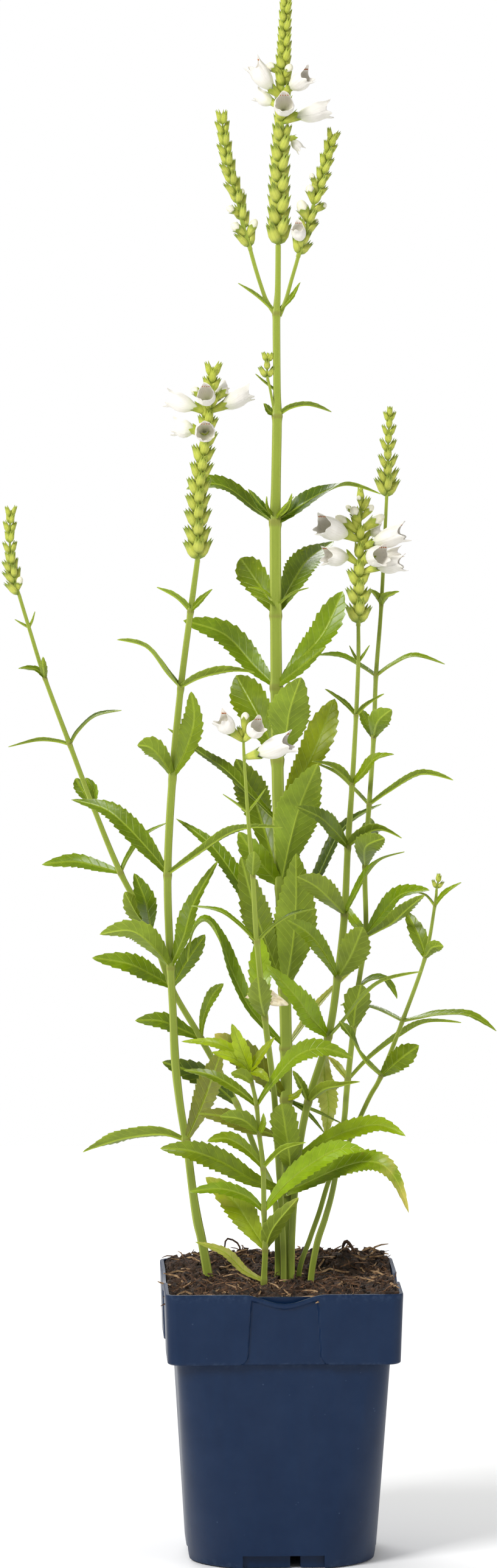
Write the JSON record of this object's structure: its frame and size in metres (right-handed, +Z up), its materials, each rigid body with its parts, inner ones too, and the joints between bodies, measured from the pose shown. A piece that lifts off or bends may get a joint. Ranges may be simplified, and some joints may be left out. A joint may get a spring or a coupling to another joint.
{
  "type": "potted obedient plant",
  "caption": "Obedient plant with toothed leaves, slender green spikes and white tubular flowers, growing in a square plastic nursery pot.",
  "frame": {"origin": "centre of the pot's underside, on the plane that the pot rests on", "axes": "+Z up along the main stem, -Y towards the pot's front, where the label pocket is"},
  "size_m": [0.2269, 0.1232, 0.7231],
  "materials": {
    "pot": "navy moulded plastic, satin",
    "soil": "dark damp peat with fibres",
    "foliage": "green leaves and stems, softly waxy",
    "spikes": "yellow green calyces and cream buds",
    "petals": "white petals, thin and matt",
    "dry_petal": "cream dried petal"
  },
  "bodies": {
    "root": {"pot": "pot", "soil": "soil", "stem_main": "foliage", "stem_left": "foliage", "stem_far_left": "foliage", "stem_right": "foliage", "stem_thin_right": "foliage", "stem_far_right": "foliage", "stem_front": "foliage", "stem_short": "foliage", "spike_main": "spikes", "spike_side_left": "spikes", "spike_side_right": "spikes", "spike_left": "spikes", "spike_far_left": "spikes", "spike_right": "spikes", "spike_thin_right": "spikes", "spike_far_right": "spikes", "spike_front": "spikes", "flower_main_1": "petals", "flower_main_2": "petals", "flower_main_3": "petals", "flower_main_4": "petals", "flower_main_5": "petals", "flower_main_6": "petals", "flower_side_right_1": "petals", "flower_left_1": "petals", "flower_left_2": "petals", "flower_left_3": "petals", "flower_left_4": "petals", "flower_left_5": "petals", "flower_left_6": "petals", "flower_right_1": "petals", "flower_right_2": "petals", "flower_right_3": "petals", "flower_right_4": "petals", "flower_right_5": "petals", "flower_right_6": "petals", "flower_right_7": "petals", "flower_front_1": "petals", "flower_front_2": "petals", "flower_front_3": "petals", "dry_petal": "dry_petal"}
  },
  "joints": []
}
